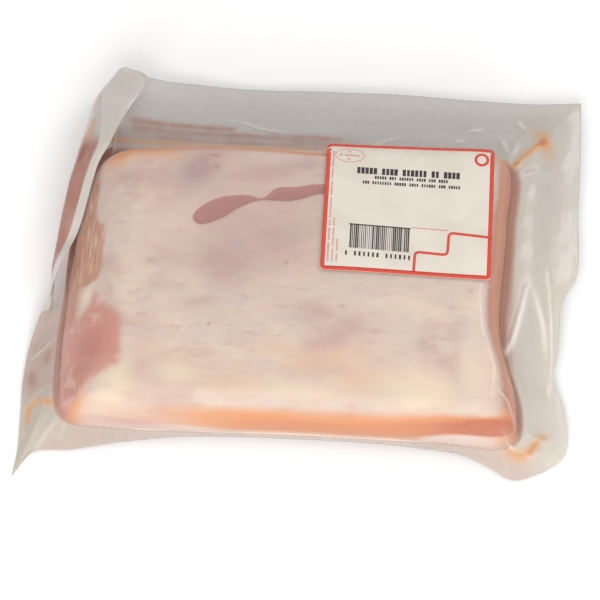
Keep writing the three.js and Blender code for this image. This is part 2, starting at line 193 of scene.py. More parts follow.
class Pouch:
    """What each column of faces round the pouch follows."""

    def __init__(self):
        widest, edge, fold, folded, self.part = [], [], [], [], []
        for number, part in enumerate(PARTS):
            count = part["columns"] * FINENESS
            u = np.arange(count) / count
            span = [knot / len(LOIN_LINE) for knot in part["span"]]
            knots = np.arange(part["columns"] + 1) / part["columns"]
            eased = np.interp(u, knots, knots ** part.get("ease", 1))
            t = by_length(LOIN_LINE, eased, span, closed=True)
            widest.append(curve_points(LOIN_LINE, t % 1, closed=True))
            t = by_length(part["edge"], u)
            edge.append(curve_points(part["edge"], t))
            fold.append(curve_points(part.get("fold", part["edge"]), t))
            at_start, at_end = u * part["columns"], (1 - u) * part["columns"]
            folded.append(ramp(np.minimum(at_start, at_end), 0, 1) * ("fold" in part))
            self.part += [number] * count
        self.widest, self.edge, self.fold = (np.vstack(v) for v in (widest, edge, fold))
        self.folded = np.concatenate(folded)
        self.part = np.array(self.part)
        self.count = len(self.part)
        along = unit(np.roll(self.widest, -FINENESS, 0) - np.roll(self.widest, FINENESS, 0))
        self.facing = {
            "front": np.maximum(0, along[:, 0]) ** 2, "back": np.minimum(0, along[:, 0]) ** 2,
            "right": np.maximum(0, along[:, 1]) ** 2, "left": np.minimum(0, along[:, 1]) ** 2,
        }
        reached = reached_at(self.widest[:, :2])
        spacing = np.gradient(reached)
        apart = np.abs(reached[:, None] - reached)
        near = bell(np.minimum(apart, reached[-1] + spacing[-1] - apart), TURNING) * spacing
        self.facing = {key: near @ value / near.sum(1) for key, value in self.facing.items()}
        self.side = {
            key: sum(self.facing[s] * SIDES[s][key] for s in SIDES) for key in SIDES["front"]}
        self.widest[:, 2] = self.side["height"]
        at = np.arange(self.count) / FINENESS
        ends = np.cumsum([part["columns"] for part in PARTS])
        self.around = 2 * math.pi * at / ends[-1]
        self.ear = bell(at - ends[0], EAR["width"]) + bell(at - ends[1], EAR["width"])
        beside = bell(at - ends[2], FLAP_REACH["width"])
        self.reach = FOLD_SHARE + (FLAP_REACH["share"] - FOLD_SHARE) * beside

    def way_in(self, inset):
        along = 0.5 + self.widest[:, 0] / (2 * HALF_LENGTH)
        across = 0.5 + self.widest[:, 1] / (2 * HALF_WIDTH)
        x = inset["left"] + (-inset["right"] - inset["left"]) * along
        y = inset["front"] + (-inset["back"] - inset["front"]) * across
        return np.stack([x, y, 0 * x], axis=1)

    def shoulder(self, degrees):
        """Rings of the rounding above the widest line, where the cap begins at 90 degrees."""
        angle = np.radians(degrees)[:, None]
        power = 2 / self.side["above"]
        p = self.widest + self.way_in(CAP_INSET) * (1 - np.cos(angle) ** power)[..., None]
        p[..., 2] += (crown(p[..., 0], p[..., 1]) - p[..., 2]) * np.sin(angle) ** power
        return p

    def under(self, degrees):
        """Rings of the rounding below the widest line, down to the flat underside."""
        angle = np.radians(degrees)[:, None]
        power = 2 / self.side["below"]
        p = self.widest + self.way_in(BASE_INSET) * (1 - np.cos(angle) ** power)[..., None]
        p[..., 2] *= 1 - np.sin(angle) ** power
        return p

    def cap(self, shares):
        rim = self.shoulder([90])[0, :, :2]
        plan = shares[:, None, None] * rim
        return np.dstack([plan, crown(plan[..., 0], plan[..., 1])])

    def base(self, shares):
        rim = self.under([90])[0]
        return shares[:, None, None] * rim * (1, 1, 0)

    def flat_film(self, s):
        """The middle of the film where it lies out from the loin to its free edge."""
        near = self.reach * s / FOLD_SHARE
        far = self.reach + (1 - self.reach) * (s - FOLD_SHARE) / (1 - FOLD_SHARE)
        out = np.where(s < FOLD_SHARE, near, far)
        p = self.widest + (self.edge - self.widest) * out[..., None]
        edge_z, loin_z = self.edge[:, 2], self.widest[:, 2]
        stiff = ramp(edge_z, LIMP, LIFT)
        z = edge_z + (loin_z - edge_z) * (1 - out) ** HANG
        z += PLEAT["height"] * stiff * bell(s - PLEAT["share"], PLEAT["width"])
        z += RIPPLE["height"] * stiff * s * np.sin(RIPPLE["waves"] * self.around)
        z += EAR["height"] * self.ear * np.sin(math.pi * s) ** 2
        p[..., 2] = np.maximum(z, TABLE_GAP)
        return p

    def folded_film(self, s):
        """The middle of the film where it turns back over the loin at the fold."""
        to_loin, to_edge = self.widest - self.fold, self.edge - self.fold
        across = unit(unit(to_edge) - unit(to_loin))

        def bent(vector, leaving, tightness, share):
            length = np.linalg.norm(vector, axis=1, keepdims=True)
            radius = np.minimum(FOLD["radius"], tightness * length)
            leaving = leaving * 2 * np.sqrt(radius * length)
            share = share[..., None]
            return self.fold + leaving * share * (1 - share) ** 2 + vector * share**2 * (2 - share)

        s = s + 0 * self.around
        loin_side = bent(to_loin, -across, FOLD["loin"], 1 - s / FOLD_SHARE)
        edge_side = bent(to_edge, across, FOLD["edge"], (s - FOLD_SHARE) / (1 - FOLD_SHARE))
        return np.where((s < FOLD_SHARE)[..., None], loin_side, edge_side)

    def film(self, shares):
        s = shares[:, None]
        fold = self.folded[:, None]
        return self.flat_film(s) * (1 - fold) + self.folded_film(s) * fold


pouch = Pouch()

# Finding places on the surfaces


def to_stretch(plan, start, end):
    """Distance in plan from each point to a straight stretch, and how far along it that is."""
    way = end - start
    share = np.clip(((plan - start) @ way) / (way @ way), 0, 1)
    return np.linalg.norm(plan - start - share[..., None] * way, axis=-1), share


def to_line(plan, line, samples=24):
    """Distance in plan from each point to an open line through a few places, and how far along
    the line from 0 to 1 the nearest place is."""
    t = np.linspace(0, 1, samples)
    p = curve_points(line, t)[:, :2] if len(line) > 2 else np.linspace(line[0][:2], line[1][:2], samples)
    best = np.full(plan.shape[:-1], FAR)
    where = np.zeros(plan.shape[:-1])
    for k in range(samples - 1):
        gap, share = to_stretch(plan, p[k], p[k + 1])
        closer = gap < best
        best = np.where(closer, gap, best)
        where = np.where(closer, (k + share) / (samples - 1), where)
    return best, where


def depth_inside(plan, outline, samples=90):
    """How far inside a smooth outline each point is in plan, and negative outside."""
    p = curve_points(outline, np.linspace(0, 1, samples, endpoint=False), closed=True)[:, :2]
    best = np.full(plan.shape[:-1], FAR)
    inside = np.zeros(plan.shape[:-1], bool)
    for a, b in zip(p, np.roll(p, -1, 0)):
        best = np.minimum(best, to_stretch(plan, a, b)[0])
        crosses = (a[1] > plan[..., 1]) != (b[1] > plan[..., 1])
        run, rise = b - a
        rise = rise if abs(rise) > TINY else TINY
        inside ^= crosses & (plan[..., 0] < a[0] + run * (plan[..., 1] - a[1]) / rise)
    return np.where(inside, best, -best)


def patches(plan, spots):
    """Soft oval patches: each is a centre, half its length and width, its turn and its strength."""
    total = np.zeros(plan.shape[:-1])
    for x, y, long, wide, turn, strength in spots:
        c, s = math.cos(math.radians(turn)), math.sin(math.radians(turn))
        u = ((plan[..., 0] - x) * c + (plan[..., 1] - y) * s) / long
        v = ((plan[..., 1] - y) * c - (plan[..., 0] - x) * s) / wide
        total = np.maximum(total, strength * np.exp(-(u**2) - v**2))
    return total


# Making meshes


def placed(name, data):
    """A new object of the scene with this data."""
    made = bpy.data.objects.new(name, data)
    bpy.context.scene.collection.objects.link(made)
    return made


def new_piece(name, points, faces, finish, values=None):
    """A mesh from points in millimetres, with its named values, one for each point."""
    mesh = bpy.data.meshes.new(name)
    mesh.from_pydata((MM * (points - OFFSET)).tolist(), [], [list(map(int, f)) for f in faces])
    for key, value in (values or {}).items():
        mesh.attributes.new(key, "FLOAT", "POINT").data.foreach_set("value", value.astype(np.float32))
    mesh.shade_smooth()
    mesh.materials.append(finish)
    return placed(name, mesh)


def closed_stack(rings, top, bottom):
    """Points and faces of a stack of rings, closed to a point at each end."""
    levels, count = rings.shape[:2]
    points = np.vstack([top, rings.reshape(-1, 3), bottom])
    i = np.arange(count)
    after = (i + 1) % count
    faces = [np.stack([0 * i, 1 + i, 1 + after], axis=1)]
    for j in range(levels - 1):
        a, b = 1 + j * count, 1 + (j + 1) * count
        faces.append(np.stack([a + i, b + i, b + after, a + after], axis=1))
    last = 1 + (levels - 1) * count
    faces.append(np.stack([last + i, 0 * i + len(points) - 1, last + after], axis=1))
    return points, [f for band in faces for f in band.tolist()]


def stacked_piece(name, rings, ends, finish, values=None):
    """A closed stack of rings as a piece, where the values of an end point are the mean ones of
    the ring beside it."""
    values = {key: np.concatenate([[v[0].mean()], v.reshape(-1), [v[-1].mean()]])
              for key, v in (values or {}).items()}
    return new_piece(name, *closed_stack(rings, *ends), finish, values)


def normals_of(rings):
    """Outward normals of a stack of rings."""
    out = np.gradient(rings, axis=0)
    along = np.roll(rings, -1, 1) - np.roll(rings, 1, 1)
    return unit(np.cross(out, along))


# Finishes


def add_node(tree, kind, settings=None, values=None):
    """Adds a node whose inputs take numbers or other nodes' outputs, and returns its outputs."""
    made = tree.nodes.new(kind)
    for key, value in (settings or {}).items():
        setattr(made, key, value)
    for key, value in (values or {}).items():
        if isinstance(value, bpy.types.NodeSocket):
            tree.links.new(value, made.inputs[key])
        else:
            made.inputs[key].default_value = value
    return made.outputs


class Signal:
    """A socket that a shader works out, for use in expressions."""

    def __init__(self, finish, socket):
        self.finish, self.socket = finish, socket

    def maths(self, operation, *values):
        return self.finish.node(
            "ShaderNodeMath", {"operation": operation}, dict(enumerate(values)))

    def __add__(self, other):
        return self.maths("ADD", self, other)

    __radd__ = __add__

    def __sub__(self, other):
        return self.maths("SUBTRACT", self, other)

    def __rsub__(self, other):
        return self.maths("SUBTRACT", other, self)

    def __mul__(self, other):
        return self.maths("MULTIPLY", self, other)

    __rmul__ = __mul__

    def __or__(self, other):
        return self.maths("MAXIMUM", self, other)

    __ror__ = __or__

    def between(self, low, high):
        """0 below low and 1 above high, smooth between; the other way where low is higher."""
        return self.finish.node(
            "ShaderNodeMapRange", {"interpolation_type": "SMOOTHSTEP"},
            {"Value": self, "From Min": low, "From Max": high})


class Finish:
    """A material, and what its surface follows."""

    def __init__(self, name):
        self.material = bpy.data.materials.new(name)
        self.material.use_nodes = True
        self.tree = self.material.node_tree
        self.tree.nodes.clear()
        place = self.node("ShaderNodeTexCoord", out="Object")
        self.place = self.node(
            "ShaderNodeMapping", values={"Vector": place, "Scale": (1 / MM, 1 / MM, 1 / MM)})

    def node(self, kind, settings=None, values=None, out=0):
        given = {k: v.socket if isinstance(v, Signal) else v for k, v in (values or {}).items()}
        outputs = add_node(self.tree, kind, settings, given)
        return Signal(self, outputs[out]) if len(outputs) else None

    def value(self, name):
        return self.node("ShaderNodeAttribute", {"attribute_name": name}, out="Fac")

    def noise(self, size, detail=3, stretch=(1, 1, 1), turn=0, roughness=0.5):
        """Noise with lumps about this many millimetres across."""
        at = self.node("ShaderNodeMapping", values={
            "Vector": self.place, "Scale": [1 / (size * s) for s in stretch],
            "Rotation": (0, 0, math.radians(turn))})
        return self.node("ShaderNodeTexNoise", values={
            "Vector": at, "Scale": 1, "Detail": detail, "Roughness": roughness})

    def mix(self, first, second, share):
        return self.node(
            "ShaderNodeMix", {"data_type": "RGBA"}, {0: share, 6: first, 7: second}, out=2)

    def layers(self, base, *layers):
        """Lays colours one over another, each with its share."""
        for colour, share in layers:
            base = self.mix(base, colour, share)
        return base

    def bump(self, height, depth):
        return self.node("ShaderNodeBump", values={
            "Strength": 1, "Distance": depth * MM, "Height": height})

    def finished(self, **sockets):
        shader = self.node(
            "ShaderNodeBsdfPrincipled", values={k.replace("_", " "): v for k, v in sockets.items()})
        self.node("ShaderNodeOutputMaterial", values={"Surface": shader})
        return self.material


def shade(red, green, blue):
    """A surface colour from 8-bit screen values."""
    return tuple((c / 255) ** 2.2 for c in (red, green, blue)) + (1,)


# Colours of the surfaces

# The fat's pink is its own tone, and also paints shade over the back half of the cap.
FAT, FAT_PINK_AND_SHADE, FAT_CREAM = shade(199, 180, 168), shade(181, 149, 143), shade(210, 192, 172)
# The fat's yellow is its own creamy tone, and also paints a highlight on the right front.
FAT_GREY, FAT_TAN, FAT_YELLOW_AND_HIGHLIGHT = shade(194, 180, 174), shade(206, 172, 146), shade(218, 198, 174)
# The dark red is the colour of dark specks and purge, and also paints the shadow of the film's fold along
# the loin's left side.
MAUVE, BLOOD, DARK_RED_AND_SHADOW = shade(164, 134, 132), shade(158, 103, 98), shade(142, 80, 66)
ROSE, ROSE_DEEP, ROSE_PALE = shade(188, 124, 111), shade(172, 98, 88), shade(216, 176, 160)
BROWN, BROWN_DEEP, WALL = shade(182, 128, 100), shade(150, 92, 66), shade(176, 108, 80)
AMBER, AMBER_DEEP, WALL_DEEP = shade(205, 130, 70), shade(172, 74, 18), shade(172, 92, 64)
LEAN, LEAN_DEEP, STRIP_PALE = shade(178, 122, 112), shade(150, 92, 84), shade(210, 188, 176)
# The welds' pale colour also paints a highlight along the bend of the back edge.
FILM_GREY, FILM_WARM, WELD_PALE_AND_HIGHLIGHT = shade(201, 197, 192), shade(197, 187, 174), shade(198, 190, 182)
JUICE, JUICE_DEEP, STAIN = shade(202, 150, 104), shade(176, 112, 66), shade(164, 120, 108)
# The lighter film colour is painted light, laid towards the right and the front.
FILM_PAINTED_LIGHT, LENS = shade(219, 211, 200), shade(182, 134, 128)
# The creases' whitening colour is partly stress whitening of the film and partly painted highlight.
FILM_PINK, CREASE_WHITE_AND_HIGHLIGHT, SEAM = shade(190, 164, 154), shade(236, 230, 220), shade(178, 126, 108)
PAPER, PAPER_SHADE = shade(208, 200, 189), shade(200, 191, 180)
PRINT_RED, PRINT_PINK, PRINT_INK = shade(200, 66, 50), shade(196, 138, 128), shade(52, 46, 46)
FLOOR, FLOOR_GRAIN = shade(248, 248, 248), shade(244, 244, 243)


def fat_and_lean():
    """Fat cap, bare muscle and the juice that stains them, seen through tight film."""
    f = Finish("fat_and_lean")
    cloud, blotch, fine = f.noise(34, 4), f.noise(13, 4, (1.6, 1, 1), 20), f.noise(2.2, 4)
    vein = f.noise(7, 5, (2.6, 1, 1), 14)
    streak = f.noise(2.6, 5, (3, 1, 1), 7, 0.62)
    winding = f.noise(8, 4, (1.8, 1, 1), -18, 0.6) - 0.5
    thread = winding.maths("ABSOLUTE", winding).between(0.022, 0.002)
    wobble = (blotch - 0.5) * 5 + (f.noise(2.6, 3) - 0.5) * 2.4
    fibre = f.noise(1.1, 3, (1, 7, 2), -12)
    fat = f.layers(
        FAT,
        (FAT_PINK_AND_SHADE, cloud.between(0.48, 0.66) * 0.8),
        (FAT_CREAM, blotch.between(0.5, 0.68) * 0.7),
        (FAT_GREY, vein.between(0.54, 0.68) * 0.7),
        (FAT_PINK_AND_SHADE, streak.between(0.52, 0.72) * 0.6),
        (FAT_CREAM, streak.between(0.46, 0.28) * 0.6),
        (FAT_TAN, thread * blotch.between(0.4, 0.6) * 0.5),
        (FAT_TAN, f.value("tan") * (0.5 + blotch)),
        # creamy patches, one of them a painted highlight on the right front
        (FAT_YELLOW_AND_HIGHLIGHT, f.value("cream") * (0.6 + cloud * 0.8)),
        # pink patches; the broad one over the back half is painted shade
        (FAT_PINK_AND_SHADE, f.value("pink") * (0.5 + vein)),
        (MAUVE, f.value("mauve") * (0.55 + blotch * 0.9)),
    )
    lean = f.layers(LEAN, (LEAN_DEEP, fibre.between(0.45, 0.7)), (STRIP_PALE, vein.between(0.6, 0.7) * 0.7))
    rose = f.layers(
        ROSE, (ROSE_DEEP, f.value("core") * (0.5 + fibre * 0.8)),
        (ROSE_PALE, vein.between(0.55, 0.68) * 0.5),
        (ROSE_PALE, f.value("marbling") * (0.3 + fine.between(0.62, 0.42) * 0.7)))
    brown = f.layers(
        BROWN, (BROWN_DEEP, fibre.between(0.45, 0.7) * 0.8), (FAT_TAN, fibre.between(0.46, 0.3) * 0.7),
        (AMBER, blotch.between(0.58, 0.7) * 0.5))
    colour = f.layers(
        fat,
        (lean, (f.value("below_fat") + wobble * 0.35).between(-0.8, 1.2)),
        (STRIP_PALE, f.value("pale_strip")), (LENS, f.value("lens") * (0.6 + blotch * 0.6)),
        (WALL, f.value("wall")), (WALL_DEEP, f.value("wall_deep") * (0.6 + blotch * 0.6)),
        (AMBER, f.value("amber") * (0.75 + blotch * 0.5)),
        (AMBER_DEEP, f.value("amber_deep") * (0.6 + fibre * 0.7)),
        (brown, (f.value("bare") + wobble * 0.5).between(-0.9, 1.3) * 0.92),
        (rose, (f.value("rose") + wobble * 0.5).between(-2, 2.6) * 0.94),
        (BLOOD, (f.value("slit") + wobble * 0.16).between(-0.35, 0.45)),
        # dark red specks, and a painted shadow along the loin's left side
        (DARK_RED_AND_SHADOW, f.value("dark_red") * (0.7 + fine * 0.5)),
    )
    height = cloud * 1.2 + blotch * 0.8 + vein * 0.5 + fine * 0.16
    return f.finished(
        Base_Color=colour, Roughness=0.34 + fine * 0.2, Normal=f.bump(height, 0.35),
        Coat_Weight=0.2 + blotch * 0.3, Coat_Roughness=0.14, Subsurface_Weight=0.08,
        Subsurface_Radius=(1, 0.45, 0.3), Subsurface_Scale=0.002)


def clear_film():
    """Clear plastic film, milky where it lies free, with juice caught between its two sheets."""
    f = Finish("clear_film")
    cloud, blotch = f.noise(40, 3), f.noise(9, 4)
    wrinkle = f.noise(6, 2, (1, 2.4, 1), 35)
    free = f.value("free")
    juice = f.value("juice") * (0.55 + blotch * 0.9)
    stain = f.value("stain") * (0.5 + wrinkle)
    crease = f.value("crease")
    # the welds, and a painted highlight along the bend of the back edge, in the same pale colour
    weld = f.value("weld").between(-0.4, 0.4) | f.value("rear_band")
    purge = f.value("purge")
    colour = f.layers(
        # painted light: the film lighter towards the right and the front
        FILM_GREY, (FILM_WARM, f.value("warm") + (cloud - 0.5) * 0.6), (FILM_PAINTED_LIGHT, f.value("fair")),
        (FILM_PINK, f.value("blush") * 0.8), (SEAM, f.value("seam") * 0.9), (STAIN, stain),
        (JUICE, juice), (JUICE_DEEP, juice.between(0.8, 1.3) * 0.7),
        # whitened creases: partly stress whitening, partly painted highlight
        (DARK_RED_AND_SHADOW, purge), (WELD_PALE_AND_HIGHLIGHT, weld), (CREASE_WHITE_AND_HIGHLIGHT, crease))
    solidity = (0.1 + free * (0.5 + cloud * 0.16) + f.value("near_loin") * 0.25 + juice * 0.3
                + f.value("seam") * 0.35 + stain * 0.3 + weld * 0.25 + crease * 0.35 + purge * 0.3)
    height = wrinkle * (0.25 + free * 0.6) + blotch * 0.5
    return f.finished(
        Base_Color=colour, Alpha=solidity.maths("MINIMUM", solidity, 0.93),
        Roughness=0.22 + blotch * 0.1, Normal=f.bump(height, 0.5), Specular_IOR_Level=0.7)


def label_paper():
    """Paper with fine fibres, a little uneven over the film."""
    f = Finish("label_paper")
    fibre, cloud = f.noise(0.6, 4), f.noise(16, 3)
    colour = f.layers(
        PAPER, (PAPER_SHADE, cloud.between(0.4, 0.7)), (PAPER_SHADE, fibre.between(0.55, 0.75) * 0.4))
    height = fibre * 0.12 + cloud * 1.6
    return f.finished(Base_Color=colour, Roughness=0.5 + fibre * 0.15, Normal=f.bump(height, 0.25))


def printed(name, ink):
    """Ink that has sunk a little into the paper."""
    f = Finish(name)
    wear = f.noise(0.7, 3)
    colour = f.mix(ink, PAPER_SHADE, wear.between(0.58, 0.9) * 0.5)
    return f.finished(Base_Color=colour, Roughness=0.45 + wear * 0.2, Normal=f.bump(wear, 0.02))


# The relief of the fat cap and the film on it, which only lowers the solid's smooth surface

SLIT = [
    (-46, 25), (-43, 30), (-37, 34), (-28, 36), (-23, 36), (-19, 35), (-16, 36), (-12, 40),
    (-4, 41), (5, 43), (14, 42), (14, 38.5), (6, 38), (-2, 35), (-7, 34), (-14, 34), (-17, 34),
    (-21, 33), (-27, 30), (-34, 25), (-43, 22),
]
ROSE_MUSCLE = [
    (-85, -7), (-79, -14), (-73, -19), (-71, -26), (-71, -33), (-71, -40), (-76, -43),
    (-81, -46), (-83, -49), (-87, -53), (-93, -57), (-101, -54), (-104, -37), (-103, -26), (-99, -19),
    (-91, -18), (-87, -13),
]
BARE_STRIP = [
    (-88, 47), (-86, 25), (-83, 22), (-82, 9), (-82, 3), (-84, -2), (-89, -5),
    (-95, -3), (-103, 8), (-104, 24), (-102, 42), (-94, 52),
]
# Random swells: the height, the size across and the seed of each
LUMPS = [(0.35, 26, 3), (0.2, 11, 4)]
HOLLOWS = [(0.25, 6, 5)]
CRUMPLES = [(0.5, 7, 11), (0.9, 18, 12)]


def waves(points, size, seed, count=7):
    """Smooth random swells between 0 and 1, about this many millimetres across."""
    draw = np.random.default_rng(seed)
    total = np.zeros(points.shape[:-1])
    for _ in range(count):
        way = draw.normal(size=3)
        way *= 2 * math.pi / (size * draw.uniform(1.4, 3) * np.linalg.norm(way))
        total += np.sin(points @ way + draw.uniform(0, 6.3))
    return np.clip(0.5 + total / (1.6 * math.sqrt(count)) / 2, 0, 1)


def swells(points, kinds):
    """Random swells between 0 and their heights together."""
    return sum(height * waves(points, size, seed) for height, size, seed in kinds)


def sunk(points):
    """How far the film lies below the solid's smooth surface."""
    return swells(points, LUMPS) + 0.2 * ramp(depth_inside(points[..., :2], SLIT), -3, 2)


def cut_in(points):
    """How much deeper the meat lies in its cuts and hollows."""
    slit = 0.5 * ramp(depth_inside(points[..., :2], SLIT), -0.5, 1.8)
    return slit + swells(points, HOLLOWS) * ramp(points[..., 2], 20, 40)


# The film

CREASES = [  # a line, its height, its half width and how strongly it is whitened: partly stress whitening of the film, partly painted highlight
    ([(80, -41), (83, -45), (86, -48), (88, -52), (92, -57)], 0.9, 0.8, 1),
    ([(84, -57), (88, -58.5), (93, -60)], 0.6, 0.7, 0.6),
    ([(84, -23), (89, -14), (93, 2), (96, 15)], 1.5, 2, 0.85),
    ([(97, 15), (101, 4), (103, -5), (104, -16)], 1.4, 2.2, 0.75),
    ([(104, 26), (105, 13), (106, 0), (106.5, -14), (106.5, -36)], 1.1, 1, 0.7),
    ([(-39, 87), (-30, 86), (-23, 83), (-15, 81), (-9, 80)], 0.8, 0.6, 0.7),
    ([(24, 73), (29, 76), (33, 78), (40, 80)], 0.8, 0.6, 0.7),
    ([(-76, 81), (-50, 82), (-34, 80)], 0.7, 0.8, 0.1),
    ([(-70, 77), (-30, 78), (13, 76)], 0.8, 0.8, 0.1),
    ([(-64, 73), (-20, 74), (20, 72)], 0.7, 0.7, 0.1),
    ([(63, 79), (67, 81)], 0.8, 1, 0.5),
    ([(68, 86), (76, 88)], 0.9, 1.2, 0.6),
    ([(83, 82), (86, 73)], 0.9, 1.4, 0.5),
    ([(90, 94), (94, 88)], 1, 1.2, 0.6),
    ([(88, 64), (94, 73), (101, 79), (108, 88)], 1.6, 2.2, 0),
    ([(86, 66), (88, 76), (92, 84)], 0.9, 1.6, 0.1),
    ([(90, 62), (99, 66), (108, 68)], 0.9, 1.8, 0.1),
    ([(-96, -54), (-103, -60), (-110, -70)], 1, 1.6, 0.2),
    ([(-94, -57), (-97, -62)], 0.6, 1, 0.2),
    ([(-102, -40), (-108, -42), (-113, -48)], 0.7, 1.3, 0.1),
    ([(-101, -20), (-108, -24), (-113, -27)], 0.7, 1.1, 0.3),
    ([(94, -60), (99, -61), (103, -57)], 0.9, 1.2, 0.2),
    ([(95, -52), (103, -54), (110, -50)], 0.8, 1.5, 0.2),
    ([(-98, -53), (-92, -53.5), (-86, -52)], 0.5, 0.7, 0.7),
]
# Juice and stains between the sheets: a line, its half width and its strength
JUICE_LINES = [
    ([(79, 56), (84, 61), (90, 69), (95, 74.5), (100, 79)], 1.5, 1),
    ([(-92, -55), (-97, -51), (-103, -47.5), (-108, -46), (-111, -49), (-111, -54)], 1.3, 1),
    ([(88, -58), (91, -61), (96, -60.5), (100, -56), (103, -52)], 2.3, 0.95),
    ([(-86, 70.5), (-40, 71.2), (0, 70.6), (16, 70)], 1.1, 0.85),
    ([(-95, 66), (-94, 70), (-93, 76)], 1.6, 0.9),
    ([(-90, 92), (-92, 86)], 1.8, 0.45),
]
STAIN_LINES = [
    ([(-76, 81), (-34, 81)], 2, 0.85),
    ([(-76, 77.5), (-30, 78), (13, 77.5)], 1.5, 0.8),
    ([(-64, 73.5), (-20, 74), (16, 73.5)], 1.8, 0.7),
    ([(-84, 74), (-40, 75), (16, 74)], 5, 0.45),
    ([(88, 20), (88.5, -20), (93, -46)], 1.4, 0.6),
    ([(-104, -26), (-104.5, -29)], 2, 0.6),
    ([(-111, -34), (-110.5, -38)], 2.2, 0.5),
]
PURGE_LINES = [
    ([(-97, 56), (-96, 60), (-95.4, 63)], 1.2, 0.9), ([(-104, -26), (-104.5, -29)], 1.4, 0.35),
    ([(-111, -34), (-110.5, -37)], 1.6, 0.25),
]
# Patches of juice, as patches() takes them
JUICE_FANS = [(101.5, 81, 6.5, 3.4, 110, 1), (99, 84, 4, 2.5, 130, 0.8), (85, 66, 5, 3, 50, 0.5)]
WELD = {"width": 5, "wider": 12, "from": 54, "to": 92}  # it widens from one Y to the other
NO_WELD = -9  # depth inside the weld where there is none
REAR_HIGHLIGHT = {"in": 3, "half": 1.6, "strength": 0.5, "middle": -18}  # a painted highlight along the bend of the back edge
JOINT = {"above": 4, "below": 2, "rounds": 8}  # rings that are eased where the film leaves


def spread(plan, lines):
    """Soft bands round lines, with the strongest at each place."""
    total = np.zeros(plan.shape[:-1])
    for line, width, strength in lines:
        gap, _ = to_line(plan, line)
        total = np.maximum(total, strength * bell(gap, width))
    return total


def tight_rings(counts):
    """Rings of the smooth form where film and meat touch, above the widest line and below it."""
    cap = pouch.cap(np.linspace(0, 1, counts["cap"] + 1)[1:-1])
    shoulder = pouch.shoulder(np.linspace(90, LEAVING, counts["shoulder"]))
    under = pouch.under(np.linspace(LEAVING, 90, counts["under"]))
    base = pouch.base(np.linspace(1, 0, counts["base"] + 2)[1:-1])
    return np.concatenate([cap, shoulder]), np.concatenate([under, base])


def film_rings():
    """Rings of the film's smooth surface, each ring's share of the way out to the free edge, and
    the first ring that leaves the loin."""
    upper, lower = tight_rings(FILM_RINGS)
    out = np.linspace(0.04, 1, FILM_RINGS["skirt"])
    middle = pouch.film(np.concatenate([[0], out]))
    normal = normals_of(middle)[1:]
    half = SKIRT_THICKNESS / 2 - (SKIRT_THICKNESS - HEM["thin"]) / 2 * ramp(out, HEM["from"], 1)
    above = middle[1:] + normal * half[:, None, None]
    below = middle[1:] - normal * half[:, None, None]
    fewer = np.unique(np.linspace(0, len(out) - 1, FILM_RINGS["below"]).astype(int))[::-1]
    rings = np.concatenate([upper, above, below[fewer], lower])
    share = np.concatenate([np.zeros(len(upper)), out, out[fewer], np.zeros(len(lower))])
    start, end = len(upper), len(rings) - len(lower)
    for first, last in ((start, start + JOINT["above"]), (end - JOINT["below"], end)):
        for _ in range(JOINT["rounds"]):
            soft = rings[first - 1:last + 1]
            rings[first:last] = (soft[:-2] + 2 * soft[1:-1] + soft[2:]) / 4
    return rings, share, start


def level_at(surface, place):
    """Height of a surface seen from above at a place, or None beside it."""
    hit = surface.ray_cast(Vector((place[0], place[1], 2 * THICKNESS)), Vector((0, 0, -1)))[0]
    return hit.z if hit else None


def laid_down(rings, share, start):
    """The film with the flap's free edge brought down onto the loin."""
    points = rings[:start].reshape(-1, 3)
    i = np.arange(start * pouch.count).reshape(start, pouch.count)
    after = np.roll(i, -1, 1)
    faces = np.stack([i[:-1], i[1:], after[1:], after[:-1]], axis=-1).reshape(-1, 4)
    loin_side = BVHTree.FromPolygons([Vector(p) for p in points], faces.tolist())
    drop = np.zeros(pouch.count)
    for column in np.flatnonzero(pouch.folded > 0.5):
        level = level_at(loin_side, pouch.edge[column])
        if level is not None:
            drop[column] = max(0, pouch.edge[column][2] - level - FLAP_REST)
    ease = 4 * FINENESS
    soft = np.hanning(ease + 1)
    longer = np.concatenate([drop[-ease:], drop, drop[:ease]])
    drop = np.convolve(longer, soft / soft.sum(), "same")[ease:-ease]
    rings = rings.copy()
    lowered = drop * ramp(share, FOLD_SHARE, 1)[:, None]
    rings[..., 2] -= lowered
    rings[..., 1] += FLAP_SLIDE * lowered
    for column in np.flatnonzero(drop > 0.05):
        for ring in np.flatnonzero(share > FOLD_SHARE + 0.05):
            level = level_at(loin_side, rings[ring, column])
            if level is not None:
                rings[ring, column, 2] = max(rings[ring, column, 2], level + FLAP_REST / 2)
    return rings


